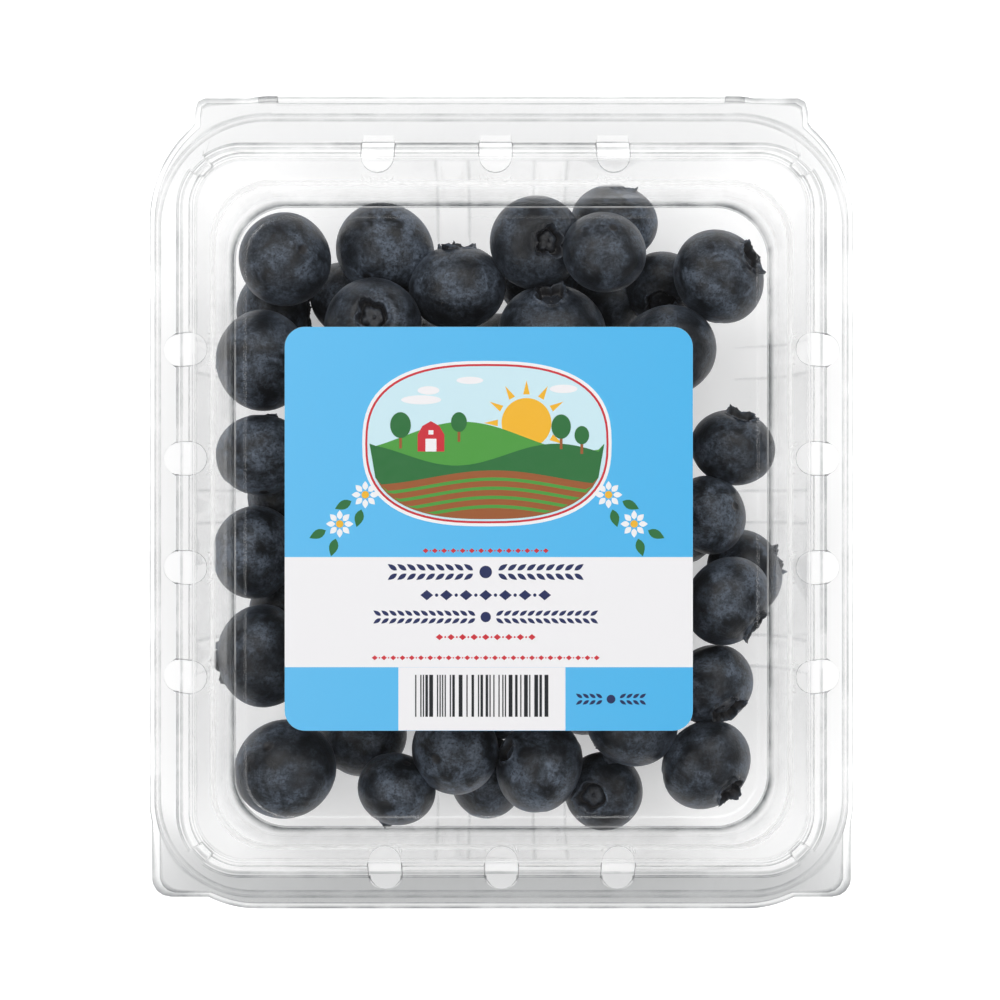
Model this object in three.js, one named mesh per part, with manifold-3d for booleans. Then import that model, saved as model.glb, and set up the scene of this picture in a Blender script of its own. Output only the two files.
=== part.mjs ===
// A clear hinged punnet of blueberries, shut. Millimetres, +Z up. The hinge is along the back, at +Y, the two
// opening tabs are at the front corners, and the origin is on the table under the middle of the pack.
import * as THREE from 'three';
import { mergeVertices } from 'three/addons/utils/BufferGeometryUtils.js';
import Module from 'manifold-3d';

const wasm = await Module();
wasm.setup();

// ---- driving dimensions ----

const sheet = 0.5; // thickness of the formed plastic
const trayRimZ = 24; // top of the tray's flange
const rimGap = 0.3; // between the tray's flange and the lid's
const beadZ = 28.9; // top of the bead round the tray's mouth, which the lid's step snaps over
const lidRimZ = trayRimZ + rimGap + sheet; // top of the lid's flange
const shoulderZ = 29.8; // top of the lid's shoulder
const panelZ = 34.8; // top of the lid's panel

// A ring is a rounded rectangle across the pack: half width, front edge, back edge and corner radius.
// The two back corners can have another radius.
const ring = (x, front, back, r, backR = r) => ({ x, front, back, r, backR });
const inset = (a, d) => ring(a.x - d, a.front + d, a.back - d, a.r - d, a.backR - d);
const mix = (a, b, t) => ring(
  THREE.MathUtils.lerp(a.x, b.x, t),
  THREE.MathUtils.lerp(a.front, b.front, t),
  THREE.MathUtils.lerp(a.back, b.back, t),
  THREE.MathUtils.lerp(a.r, b.r, t),
  THREE.MathUtils.lerp(a.backR, b.backR, t),
);

const rim = ring(58.9, -68.05, 68.05, 18, 21); // edge of the lid's flange
const stepFoot = ring(54.4, -62.85, 60.05, 10.7);
const stepTop = ring(51.9, -60.5, 58, 9);
const domeFoot = ring(47.9, -57.3, 52.85, 10);
const panelEdge = ring(44, -53.6, 48.7, 9);
const trayRim = inset(rim, 0.75);
const beadFoot = inset(stepFoot, 0.6);
const beadTop = inset(stepTop, 0.5);
const mouth = inset(stepTop, 1.15);
const floorEdge = ring(43.5, -52.4, 47.3, 8);

// Upright ribs pressed into the tray's walls: three on each long side, two on each end.
const ribDepth = 2.2;
const ribHalf = 2.2;
const ribFlare = 3.25;
const sideRibs = [-25.9, -0.8, 24.3];
const endRibs = [-8.3, 8.3];

// Snap buttons: the step is pressed in a little across the middle of each corner.
const buttonDepth = 0.55;
const cornerAngles = [0, 12, 24, 36, 37.5, 52.5, 54, 66, 78, 90];
const isButton = (degrees) => Math.abs(degrees - 45) < 8;

// Corner tabs of the two flanges, and the strip between the back ears where they fold into each other.
const lidTab = { x: 58.5, y: -66.1, r: 3.1 };
const trayTab = { x: 57.3, y: -65.5, r: 2.8 };
const lidEar = { x: 51.3, y: 67.6, r: 1.7 };
const trayEar = { x: 50.6, y: 66.9, r: 1.4 };
const tabRoot = 2; // how far inside the flange's edge the tabs and ears start
const foldHalf = 40.8;

// Vents across the lid's step.
const ventWidth = 5.45;
const sideVents = { inner: 48.9, outer: 56.6, at: [25.4, 7.25, -10.9, -29.05] };
const frontVents = { inner: 57.1, outer: 64.8, at: [-19.4, 0, 19.4] };
const backVents = { inner: 54.75, outer: 60.2, at: [-20.6, -1, 18.6] };

const label = { left: -35.65, right: 31.45, front: -37.6, back: 28.8, r: 3.3, thick: 0.25, gap: 0.1 };

// ---- geometry helpers ----

const radians = THREE.MathUtils.degToRad;

// Points of a ring, counter-clockwise from the right side. Each side has its ribs, then the next corner.
function ringPoints(a, { ribs = null, rib = 0, trim = 0, button = 0 }) {
  const reach = [a.x, a.back, a.x, -a.front];
  const turns = [(u, v) => [u, v], (u, v) => [-v, u], (u, v) => [-u, -v], (u, v) => [v, -u]];
  const outer = ribFlare - trim;
  const inner = ribHalf - trim;
  const ribLine = [[-outer, 0], [-inner, rib], [inner, rib], [outer, 0]];
  const points = [];
  turns.forEach((turn, q) => {
    for (const centre of ribs ? ribs[q] : []) {
      for (const [across, deep] of ribLine) points.push(turn(reach[q] - deep, centre + across));
    }
    const corner = q < 2 ? a.backR : a.r;
    const u = reach[q] - corner;
    const v = reach[(q + 1) % 4] - corner;
    for (const degrees of cornerAngles) {
      const r = corner - (isButton(degrees) ? button : 0);
      points.push(turn(u + r * Math.cos(radians(degrees)), v + r * Math.sin(radians(degrees))));
    }
  });
  return points;
}

// The rings under a formed sheet: each level moves square to the profile by the sheet's thickness.
function underside(levels) {
  return levels.map((level, i) => {
    if (i === levels.length - 1) return { ...level, z: level.z - sheet, trim: sheet * 0.6 };
    const next = levels[i + 1];
    const last = i > 0 ? levels[i - 1] : { ring: inset(level.ring, 1), z: level.z };
    const before = new THREE.Vector2(level.z - last.z, last.ring.x - level.ring.x).normalize();
    const after = new THREE.Vector2(next.z - level.z, level.ring.x - next.ring.x).normalize();
    const miter = before.clone().add(after).normalize();
    miter.multiplyScalar(sheet / miter.dot(after));
    return { ...level, ring: inset(level.ring, -miter.x), z: level.z + miter.y, trim: sheet * 0.6 };
  });
}

// A formed sheet from the rings of its upper face, listed from the middle out to the rim.
function formedSheet(levels, ribs) {
  const rings = [...levels, ...underside(levels).reverse()];
  const loops = rings.map((level) => ringPoints(level.ring, { ...level, ribs }));
  const count = loops[0].length;
  const index = [];
  for (let i = 0; i < loops.length - 1; i += 1) {
    for (let j = 0; j < count; j += 1) {
      const k = (j + 1) % count;
      const [a, b, c, d] = [i * count + j, (i + 1) * count + j, (i + 1) * count + k, i * count + k];
      index.push(a, b, c, a, c, d);
    }
  }
  const cap = (loop) => THREE.ShapeUtils.triangulateShape(loop.map(([x, y]) => new THREE.Vector2(x, y)), []);
  const lastLoop = (loops.length - 1) * count;
  for (const [a, b, c] of cap(loops[0])) index.push(a, b, c);
  for (const [a, b, c] of cap(loops.at(-1))) index.push(lastLoop + a, lastLoop + c, lastLoop + b);
  const geometry = new THREE.BufferGeometry();
  const positions = loops.flatMap((loop, i) => loop.flatMap(([x, y]) => [x, y, rings[i].z]));
  geometry.setAttribute('position', new THREE.Float32BufferAttribute(positions, 3));
  geometry.setIndex(index);
  return geometry;
}

function solidOf(geometry) {
  geometry.deleteAttribute('normal');
  geometry.deleteAttribute('uv');
  const merged = mergeVertices(geometry, 1e-4);
  return new wasm.Manifold(new wasm.Mesh({
    numProp: 3,
    vertProperties: new Float32Array(merged.attributes.position.array),
    triVerts: new Uint32Array(merged.index.array),
  }));
}

function geometryOf(solid) {
  const mesh = solid.getMesh();
  const geometry = new THREE.BufferGeometry();
  geometry.setAttribute('position', new THREE.Float32BufferAttribute(mesh.vertProperties, 3));
  geometry.setIndex(new THREE.Uint32BufferAttribute(mesh.triVerts, 1));
  geometry.computeVertexNormals();
  return geometry;
}

function plate(shape, bottom, thickness, curveSegments = 3) {
  const geometry = new THREE.ExtrudeGeometry(shape, { depth: thickness, bevelEnabled: false, curveSegments });
  return geometry.translate(0, 0, bottom);
}

// Material outside a flange's rounded corner: a square tab that starts from an arc inside the flange.
// The signs say which corner: side is +1 at the right, end is +1 at the back.
function tabShape(tab, edge, side, end) {
  const corner = end > 0 ? edge.backR : edge.r;
  const cx = edge.x - corner;
  const cy = end > 0 ? edge.back - corner : edge.front + corner;
  const reachX = tab.x - cx;
  const reachY = Math.abs(tab.y - cy);
  const points = [];
  const add = (x, y, r, angle) => points.push(
    new THREE.Vector2(side * (cx + x + r * Math.cos(angle)), cy + end * (y + r * Math.sin(angle))),
  );
  const arc = (x, y, r, from, to, steps) => {
    for (let i = 0; i <= steps; i += 1) add(x, y, r, THREE.MathUtils.lerp(from, to, i / steps));
  };
  const start = Math.acos(Math.min(1, reachX / corner));
  const stop = Math.asin(Math.min(1, reachY / corner));
  add(0, 0, corner, start);
  arc(reachX - tab.r, reachY - tab.r, tab.r, 0, Math.PI / 2, 5);
  add(0, 0, corner, stop);
  arc(0, 0, corner - tabRoot, stop, start, 4);
  return new THREE.Shape(points);
}

function flangeTabs(tab, ear, edge, bottom) {
  const tabs = [];
  for (const side of [-1, 1]) {
    tabs.push(plate(tabShape(tab, edge, side, -1), bottom, sheet));
    tabs.push(plate(tabShape(ear, edge, side, 1), bottom, sheet));
  }
  return tabs.map(solidOf);
}

const box = (x0, x1, y0, y1, z0, z1) => new THREE.BoxGeometry(x1 - x0, y1 - y0, z1 - z0)
  .translate((x0 + x1) / 2, (y0 + y1) / 2, (z0 + z1) / 2);

// ---- tray ----

// How far the wall has come in from the mouth at a height from 0, the floor, to 1, the mouth.
const wallShare = (h) => 0.28 * (1 - h) + 0.72 * (1 - h) ** 5;
const wallRing = (h) => mix(mouth, floorEdge, wallShare(h));
const wallHeight = (z) => THREE.MathUtils.clamp((z - sheet) / (beadZ - sheet), 0, 1);
const wallLevels = [0, 0.05, 0.13, 0.27, 0.5, 0.8, 1];
const ribAt = (h) => ribDepth * Math.min(1, 1.25 * (1 - h));

function trayGeometry() {
  const ribs = [sideRibs, endRibs, sideRibs.map((y) => -y).reverse(), endRibs];
  const levels = wallLevels.map((h) => ({
    ring: wallRing(h),
    z: THREE.MathUtils.lerp(sheet, beadZ, h),
    rib: ribAt(h),
  }));
  levels.push({ ring: beadTop, z: beadZ, button: buttonDepth });
  levels.push({ ring: beadFoot, z: trayRimZ, button: buttonDepth });
  levels.push({ ring: trayRim, z: trayRimZ });
  let solid = solidOf(formedSheet(levels, ribs));
  for (const tab of flangeTabs(trayTab, trayEar, trayRim, trayRimZ - sheet)) solid = solid.add(tab);
  const fold = box(-foldHalf, foldHalf, trayRim.back - 1, rim.back, trayRimZ - sheet, trayRimZ);
  return geometryOf(solid.add(solidOf(fold)));
}

// ---- lid ----

// A slot outline along +X from inner to outer, with a round inner end and a round or square outer end.
function ventShape({ inner, outer }, squareEnd) {
  const r = ventWidth / 2;
  const shape = new THREE.Shape();
  shape.absarc(inner + r, 0, r, Math.PI / 2, Math.PI * 1.5);
  if (squareEnd) {
    shape.lineTo(outer, -r);
    shape.lineTo(outer, r);
  } else {
    shape.absarc(outer - r, 0, r, -Math.PI / 2, Math.PI / 2);
  }
  return shape;
}

function ventCutters() {
  const low = trayRimZ;
  const tall = shoulderZ + 1 - low;
  const cutters = [];
  const add = (vents, squareEnd, angle, place) => {
    for (const at of vents.at) {
      const cutter = plate(ventShape(vents, squareEnd), low, tall).rotateZ(angle);
      cutters.push(solidOf(cutter.translate(...place(at), 0)));
    }
  };
  add(sideVents, false, 0, (y) => [0, y]);
  add(sideVents, false, Math.PI, (y) => [0, y]);
  add(backVents, true, Math.PI / 2, (x) => [x, 0]);
  add(frontVents, false, -Math.PI / 2, (x) => [x, 0]);
  return cutters;
}

function lidGeometry() {
  const levels = [
    { ring: inset(panelEdge, 0.8), z: panelZ },
    { ring: inset(panelEdge, -0.2), z: panelZ - 0.4 },
    { ring: domeFoot, z: shoulderZ },
    { ring: stepTop, z: shoulderZ, button: buttonDepth },
    { ring: stepFoot, z: lidRimZ, button: buttonDepth },
    { ring: rim, z: lidRimZ },
  ];
  let solid = solidOf(formedSheet(levels, null));
  for (const tab of flangeTabs(lidTab, lidEar, rim, lidRimZ - sheet)) solid = solid.add(tab);
  for (const cutter of ventCutters()) solid = solid.subtract(cutter);
  return geometryOf(solid);
}

// ---- label ----

function labelGeometry() {
  const { left, right, front, back, r } = label;
  const shape = new THREE.Shape();
  shape.absarc(right - r, back - r, r, 0, Math.PI / 2);
  shape.absarc(left + r, back - r, r, Math.PI / 2, Math.PI);
  shape.absarc(left + r, front + r, r, Math.PI, Math.PI * 1.5);
  shape.absarc(right - r, front + r, r, Math.PI * 1.5, Math.PI * 2);
  return plate(shape, panelZ + label.gap, label.thick);
}

// ---- berries ----

const meanBerry = 14.8; // diameter
const lowLevel = 8; // height of the lower layer's centres
const topLevel = 21;
const clear = 0.5; // kept from the plastic
const coreInset = 9; // of the heap's middle slab, from the mouth
const coreLow = 4.5;
const coreTall = 13;
const coreR = 6;
const showingSwell = 1.03; // faceted berries are a little larger, so their flats lie near the true radius
const fillerSwell = 1.04;
const contact = 0.94; // berries are a little flattened, so they touch nearer than balls would

// Berries that show round the label: x, y, the height they lie at and their diameter.
const showing = [
  [-36.5, 41, 21, 15.5], [-19.5, 42, 17, 16.5], [-8, 36.5, 20, 16], [-21.5, 29.5, 24, 16],
  [6.5, 43.5, 23, 15.5], [16.6, 42, 24, 13.6], [19.2, 51, 17, 14.5], [8.5, 28.5, 22, 17.5],
  [19, 35, 9, 12.5], [27, 36.5, 11, 12.5], [28, 25.5, 22, 16], [36.5, 38, 21, 16],
  [-40.5, 24, 20, 16.5], [-40.5, 8, 21, 15], [-42.5, -8.5, 19, 15.5], [-41.5, -26, 20, 17],
  [-36.5, -45, 21, 17], [-39.2, 32.5, 9, 14.5], [39, 9, 20, 14], [35, -2, 22, 13],
  [38, -16.5, 23, 15], [43, -12, 14, 14], [35.5, -31, 20, 14], [34.5, -44, 21, 15.5],
  [22, -37, 22, 15.5], [17, -49, 18, 13], [6.5, -44.5, 22, 15.5], [-8, -42, 21, 14.5],
  [-17.5, -48.5, 19, 13], [-24, -39.8, 9, 15], [-2.5, -47.5, 9, 14], [-36.5, 0.5, 9, 15],
  [-36, -18, 9, 15],
];

// Places in the lower rows that stay empty, where the floor shows between the berries.
const bare = [[22.5, -46], [37.5, -46], [37.5, 39.2], [30, 25], [37.5, 10.8], [-7.5, 39.2]];

// Whole numbers spread evenly between -1 and 1 by the golden ratio, so that sizes vary by a rule.
const spread = (n) => ((n * 0.618034) % 1) * 2 - 1;

// Staggered rows of places from the first one. Odd rows have one place fewer.
function rows(x0, y0, pitchX, pitchY, columns, rowCount) {
  const places = [];
  for (let j = 0; j < rowCount; j += 1) {
    const shift = (j % 2) / 2;
    for (let i = 0; i < columns - (j % 2); i += 1) places.push([x0 + pitchX * (i + shift), y0 + pitchY * j]);
  }
  return places;
}

// The showing berries stay near their places. The rest start in rows, below them and under the label.
function startBerries() {
  const berry = (x, y, z, diameter, hold) => (
    { at: new THREE.Vector3(x, y, z), home: [x, y, z], r: diameter / 2, hold }
  );
  const filler = (z) => ([x, y], n) => berry(x, y, z, meanBerry + 0.9 * spread(n), 0.02);
  const shown = showing.map(([x, y, z, diameter]) => berry(x, y, z, diameter, 0.35));
  const lowShown = shown.filter(({ at }) => at.z < 15);
  const isBare = ({ at }) => bare.some(([x, y]) => Math.hypot(at.x - x, at.y - y) < 1);
  const isFree = (a) => !isBare(a)
    && lowShown.every((b) => Math.hypot(a.at.x - b.at.x, a.at.y - b.at.y) > 0.72 * (a.r + b.r));
  const lower = rows(-37.5, -46, 15, 14.2, 6, 7).map(filler(lowLevel)).filter(isFree);
  const underLabel = rows(-26.5, -25.5, 15.2, 13.4, 4, 4).map(filler(topLevel));
  return [...shown, ...lower, ...underLabel];
}

// Keeps a berry off the walls, the ribs, the floor and the lid. Its width is tested at three heights.
function keepInside({ at, r }) {
  for (const drop of [0, 0.6, 0.85]) {
    const half = r * Math.sqrt(1 - drop * drop) + clear;
    const h = wallHeight(at.z - drop * r);
    const wall = wallRing(h);
    at.x = THREE.MathUtils.clamp(at.x, half - wall.x, wall.x - half);
    at.y = THREE.MathUtils.clamp(at.y, wall.front + half, wall.back - half);
    const ribPlaces = [
      ...sideRibs.flatMap((y) => [[wall.x, y], [-wall.x, y]]),
      ...endRibs.flatMap((x) => [[x, wall.front], [x, wall.back]]),
    ];
    for (const [x, y] of ribPlaces) {
      const away = new THREE.Vector2(at.x - x, at.y - y);
      const short = half + ribAt(h) - away.length();
      if (short > 0) {
        away.setLength(short);
        at.x += away.x;
        at.y += away.y;
      }
    }
  }
  at.z = THREE.MathUtils.clamp(at.z, sheet + clear + r, panelZ - sheet - clear - r);
}

// Berries press each other apart, sink and drift back to their places, all of them at once in each step.
function settle(berries, steps = 260, share = 0.3, sink = 0.06, levelHold = 0.25) {
  for (let step = 0; step < steps; step += 1) {
    const moves = berries.map((a) => berries.reduce((move, b) => {
      const away = a.at.clone().sub(b.at);
      const press = (a.r + b.r) * contact - away.length();
      return press > 0 && a !== b ? move.addScaledVector(away.normalize(), press * share) : move;
    }, new THREE.Vector3()));
    berries.forEach((a, i) => {
      a.at.add(moves[i]);
      a.at.x += (a.home[0] - a.at.x) * a.hold;
      a.at.y += (a.home[1] - a.at.y) * a.hold;
      a.at.z += (a.home[2] - a.at.z) * a.hold * levelHold - sink;
      keepInside(a);
    });
  }
  return berries;
}

// The heap is one solid: a slab in the middle, with every berry fused on.
function heapGeometry() {
  const core = { ...inset(mouth, coreInset), r: coreR, backR: coreR };
  const shape = new THREE.Shape(ringPoints(core, {}).map(([x, y]) => new THREE.Vector2(x, y)));
  const bodies = settle(startBerries()).map(({ at, r }, n) => {
    const ball = n < showing.length
      ? new THREE.IcosahedronGeometry(r * showingSwell, 1)
      : new THREE.OctahedronGeometry(r * fillerSwell, 1);
    return solidOf(ball.rotateX(n).rotateZ(n * 2).translate(at.x, at.y, at.z));
  });
  const slab = solidOf(plate(shape, coreLow, coreTall));
  return geometryOf(bodies.reduce((heap, berry) => heap.add(berry), slab));
}

// ---- materials and pieces ----

const clearPlastic = (name) => new THREE.MeshStandardMaterial({
  name, color: 0xe9eef0, roughness: 0.12, metalness: 0, transparent: true, opacity: 0.35,
});
const labelStock = new THREE.MeshStandardMaterial({ name: 'label stock', color: 0x62bff0, roughness: 0.45 });
const berrySkin = new THREE.MeshStandardMaterial({ name: 'berry skin', color: 0x343c4c, roughness: 0.6 });

const piece = (name, geometry, material) => {
  const mesh = new THREE.Mesh(geometry, material);
  mesh.name = name;
  return mesh;
};

const punnet = new THREE.Group();
punnet.add(
  piece('tray', trayGeometry(), clearPlastic('clear tray')),
  piece('lid', lidGeometry(), clearPlastic('clear lid')),
  piece('label', labelGeometry(), labelStock),
  piece('berries', heapGeometry(), berrySkin),
);

export default punnet;
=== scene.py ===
import bpy
import numpy as np
from mathutils import Matrix, Vector


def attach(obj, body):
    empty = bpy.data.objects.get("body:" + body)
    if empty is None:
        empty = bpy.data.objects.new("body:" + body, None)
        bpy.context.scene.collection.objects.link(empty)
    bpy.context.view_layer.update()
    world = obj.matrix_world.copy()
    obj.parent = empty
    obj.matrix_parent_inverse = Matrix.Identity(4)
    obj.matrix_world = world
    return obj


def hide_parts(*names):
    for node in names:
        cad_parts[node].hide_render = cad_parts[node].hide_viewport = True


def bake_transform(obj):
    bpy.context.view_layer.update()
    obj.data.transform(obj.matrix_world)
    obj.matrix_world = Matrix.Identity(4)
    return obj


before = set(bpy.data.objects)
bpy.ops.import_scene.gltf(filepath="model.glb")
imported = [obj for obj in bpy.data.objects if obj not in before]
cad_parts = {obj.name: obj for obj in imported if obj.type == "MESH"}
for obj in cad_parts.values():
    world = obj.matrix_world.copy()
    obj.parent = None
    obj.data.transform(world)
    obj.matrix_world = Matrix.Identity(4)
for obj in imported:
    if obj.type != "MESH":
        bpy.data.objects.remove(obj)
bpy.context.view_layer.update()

# A clear hinged punnet of blueberries, shut. Lengths are written in millimetres and become metres in
# makePiece. +X is right, +Y the hinge side, +Z up, and the table is at zero.
mm = 0.001
mirror = np.array([1, 0, -1, 0])  # cosine and sine of a side's quarter turns
quarter = np.array([0, 1, 0, -1])


def hexColour(code):
    # sRGB hex to the linear colour that a socket takes
    part = np.array([int(code[i:i + 2], 16) for i in (1, 3, 5)]) / 255
    linear = np.where(part <= 0.04045, part / 12.92, ((part + 0.055) / 1.055) ** 2.4)
    return (*(float(c) for c in linear), 1.0)


def addNode(tree, kind, attributes={}, inputs={}):
    # attributes are set first, then each input takes a value or a link from another node's socket
    made = tree.nodes.new("ShaderNode" + kind)
    for name, value in attributes.items():
        setattr(made, name, value)
    for key, value in inputs.items():
        if isinstance(value, bpy.types.NodeSocket):
            tree.links.new(value, made.inputs[key])
        else:
            made.inputs[key].default_value = value
    return made


def newMaterial(name):
    material = bpy.data.materials.new(name)
    material.use_nodes = True
    material.node_tree.nodes.clear()
    return material, material.node_tree


def smoothStep(t):
    t = np.clip(t, 0, 1)
    return t * t * (3 - 2 * t)


def makePiece(name, points, quads, material, extra=(), smooth=True, attributes={}):
    # points in millimetres, quads four indices a row, extra any other faces, attributes one value for
    # each point. Points that no face uses are left out.
    points, quads = np.asarray(points, float).reshape(-1, 3), np.asarray(quads, int).reshape(-1, 4)
    used = np.zeros(len(points), bool)
    used[quads] = True
    for face in extra:
        used[face] = True
    index = np.cumsum(used) - 1
    faces = index[quads].tolist() + [index[face].tolist() for face in extra]
    mesh = bpy.data.meshes.new(name)
    mesh.from_pydata((points[used] * mm).tolist(), [], faces)
    for title, values in attributes.items():
        attribute = mesh.attributes.new(title, "FLOAT", "POINT")
        attribute.data.foreach_set("value", np.asarray(values, np.float32).ravel()[used])
    if smooth:
        mesh.shade_smooth()
    else:
        mesh.shade_flat()
    mesh.materials.append(material)
    mesh.validate()
    piece = bpy.data.objects.new(name, mesh)
    bpy.context.scene.collection.objects.link(piece)
    return piece


def gridQuads(rows, columns, keep=None):
    # quads between neighbours on a grid of rows from the middle out and columns right round
    here = np.arange(rows * columns).reshape(rows, columns)
    right = np.roll(here, -1, axis=1)
    quads = np.stack([here[:-1], here[1:], right[1:], right[:-1]], axis=-1)
    return quads.reshape(-1, 4) if keep is None else quads[keep]


# A ring is a rounded rectangle across the pack: half width, front edge, back edge, corner radius at the
# front, and at the back where that is another one.
pack = {
    "sheet": 0.35,  # thickness of the formed plastic
    "fold": 0.42,  # radius of a tight fold
    "trayRimZ": 24.0,
    "lidRimZ": 24.8,
    "beadZ": 28.9,  # the tray's mouth
    "shoulderZ": 29.8,
    "panelZ": 34.8,
    "rim": (58.9, -68.05, 68.05, 18, 21),
    "stepFoot": (54.4, -62.85, 60.05, 10.7),
    "stepTop": (51.9, -60.5, 58, 9),
    "domeFoot": (47.9, -57.3, 52.85, 10),
    "panelEdge": (44, -53.6, 48.7, 9),
    "floorEdge": (43.5, -52.4, 47.3, 8),
    # the look of the clear sheet
    "shade": "#fcfcfc",  # what light straight through it keeps
    "foldShade": "#7e8284",  # painted shade at a tight fold, standing in for the light the fold throws aside
    "passing": "#fefefe",  # what a lamp's light keeps
    # colour of the painted highlight on soft folds
    "paintedGleam": "#fbfbfb",
    "mirrored": (0.021, 0.42),  # share of light square on, and what a grazing angle adds
    "waves": 8.0,  # size of its unevenness
    "paintedEndShade": (0.06, 0.17),  # painted shade: how much darker both flanges are at the back and at the front
}


def asRing(sizes, height, inset=0.0):
    # x, front, back, front radius, height, back radius
    x, front, back, r, *other = sizes
    backR = other[0] if other else r
    frontR, backR = max(r - inset, 1), max(backR - inset, 1)
    return np.array([x - inset, front + inset, back - inset, frontR, height, backR], float)


def ringAt(name, height, inset=0.0):
    return asRing(pack[name], height, inset)


def roundedPath(keys, radii, steps=7):
    # A path through rings whose corners are rounded: near each corner it follows the parabola from a
    # point before the corner to one after it, cut off at radius x tan(half the turn).
    keys = np.array(keys, float)
    path = [keys[:1]]
    for before, key, after, radius in zip(keys, keys[1:], keys[2:], radii[1:]):
        back, on = key - before, after - key
        backLength, onLength = np.hypot(back[0], back[4]), np.hypot(on[0], on[4])
        cosine = (back[0] * on[0] + back[4] * on[4]) / (backLength * onLength)
        cut = radius * np.tan(np.arccos(np.clip(cosine, -1, 1)) / 2)
        if cut < 1e-3:
            path.append(key[None])
            continue
        cut = min(cut, backLength / 2, onLength / 2)
        start, end = key - back * cut / backLength, key + on * cut / onLength
        s = np.linspace(0, 1, steps)[:, None]
        path.append((1 - s) ** 2 * start + 2 * (1 - s) * s * key + s ** 2 * end)
    path.append(keys[-1:])
    return np.concatenate(path)


def lineShare(rings, lines):
    # How strongly lines along the rings mark each one. A line is (half width, breadth, strength), and
    # fades to either side as exp(-(distance / breadth) ** 4), a bell curve with a flat top.
    place, breadth, strength = np.array(lines).T[:, :, None]
    return np.clip((strength * np.exp(-((rings[:, 0] - place) / breadth) ** 4)).sum(axis=0), 0, 1)


def makeColumns(places, angles):
    # Columns right round a ring. places holds, for each side from the right one counter-clockwise, the
    # set places along it; the rest turn round the corner that follows, at these angles.
    side = np.concatenate([np.full(len(p) + len(angles), q) for q, p in enumerate(places)])
    isArc = np.concatenate([np.r_[np.zeros(len(p)), np.ones(len(angles))] for p in places]).astype(bool)
    value = np.concatenate([np.r_[sorted(p), angles] for p in places])
    return {"side": side, "isArc": isArc, "value": value}


hinge = {
    "half": 40.8,  # half length of the strip
    "edge": 66.8,  # where both flanges end along it
    "bow": 1.1,  # how far the strip's middle stands out past them
    "border": 0.2,  # from the strip's end to where the flanges' edges are back in place
    "sheet": 0.2,
    "paintedCreaseShade": 0.45,  # how dark the painted shade along its middle is
}


def ringPoints(columns, rings, inward=0.0, grow=0.0):
    # Points of rings, rows x columns. A straight column lies at its place on the side, moved in by
    # inward; a place far out slides towards the middle where a ring's side is too short for it. An arc
    # column lies on its corner, with grow added to the corner's radius.
    side, isArc = columns["side"], columns["isArc"]
    full = np.broadcast_to(rings, (rings.shape[0], len(side), 6))
    x, front, back, frontR, z, backR = np.moveaxis(full, -1, 0)
    r = np.where(side < 2, backR, frontR)
    reach = [x, back, x, -front]
    here, following = np.choose(side, reach), np.choose((side + 1) % 4, reach)
    angle = np.radians(np.where(isArc, columns["value"], 0))
    place = np.where(isArc, 0, columns["value"])
    farOut = np.clip((np.abs(place) - 30) / 10, 0, 1)
    # the shorter of the side's two halves: its two corners may differ
    fits = np.minimum(1, (following - np.maximum(frontR, backR) - 0.4) / (hinge["half"] + hinge["border"]))
    u = np.where(isArc, here - r + (r + grow) * np.cos(angle), here - inward)
    v = np.where(isArc, following - r + (r + grow) * np.sin(angle), place * (1 - farOut * (1 - fits)))
    c, s = mirror[side], quarter[side]
    return np.stack([u * c - v * s, u * s + v * c, z], axis=-1)


def capRows(points, marks, shares):
    # the middle of a formed sheet: its innermost ring drawn in towards the centre, with no marks on it
    centre = points[0].mean(axis=0)
    inner = centre + (points[0] - centre) * np.array(shares)[:, None, None]
    bare = np.zeros(inner.shape[:2])
    return np.concatenate([inner, points]), {title: np.concatenate([bare, m]) for title, m in marks.items()}


def slotOffsets(width, border, count=11):
    # places across a slot, closer together at its edges, where the round end turns away fastest, and
    # one more beyond each edge
    across = width / 2 * np.sin(np.radians(np.linspace(-90, 90, count)))
    return np.r_[-width / 2 - border, across, width / 2 + border]


cornerAngles = np.unique(np.r_[np.arange(0, 91, 3), 36.75, 37.5, 38.25, 51.75, 52.5, 53.25])
corners = {
    "buttonDepth": 0.55,
    "buttonHalf": 7.5,  # degrees either side of the corner's middle
    "buttonRamp": 0.75,
}


def buttonAt(columns):
    # 1 across the middle of each corner and 0 beside it
    away = np.abs(np.where(columns["isArc"], columns["value"], 0) - 45)
    return smoothStep((corners["buttonHalf"] + corners["buttonRamp"] - away) / (2 * corners["buttonRamp"]))


def tabReach(angle, reachX, reachY, round, r):
    # How far a corner's edge lies from the corner's centre in each direction: the larger of the round
    # corner and of a square one, whose own corner has the radius round.
    c, s = np.cos(angle), np.sin(angle)
    side = reachX / np.maximum(c, 1e-6)
    end = reachY / np.maximum(s, 1e-6)
    cx, cy = reachX - round, reachY - round
    along = cx * c + cy * s
    bend = along + np.sqrt(np.maximum(along ** 2 - cx ** 2 - cy ** 2 + round ** 2, 0))
    square = np.where(side * s <= cy, side, np.where(end * c <= cx, end, bend))
    return np.maximum(square, r)


def tabsOf(columns, edge, tab, ear):
    # extra radius of a flange's edge at the front tabs and the back ears; both are (x, y, corner radius)
    side, isArc = columns["side"], columns["isArc"]
    angle = np.radians(np.where(isArc, columns["value"], 0))
    x, front, back, frontR, _, backR = edge
    atBack = (side == 0) | (side == 1)
    r = np.where(atBack, backR, frontR)
    # angles grow from the side edge on the right back and left front corners, and from the end edge on
    # the others
    fromSide = np.where((side == 0) | (side == 2), angle, np.pi / 2 - angle)
    tabRadius = tabReach(fromSide, tab[0] - x + r, abs(tab[1]) - abs(front) + r, tab[2], r)
    earRadius = tabReach(fromSide, ear[0] - x + r, ear[1] - back + r, ear[2], r)
    return np.where(isArc, np.where(atBack, earRadius, tabRadius) - r, 0.0)


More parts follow.
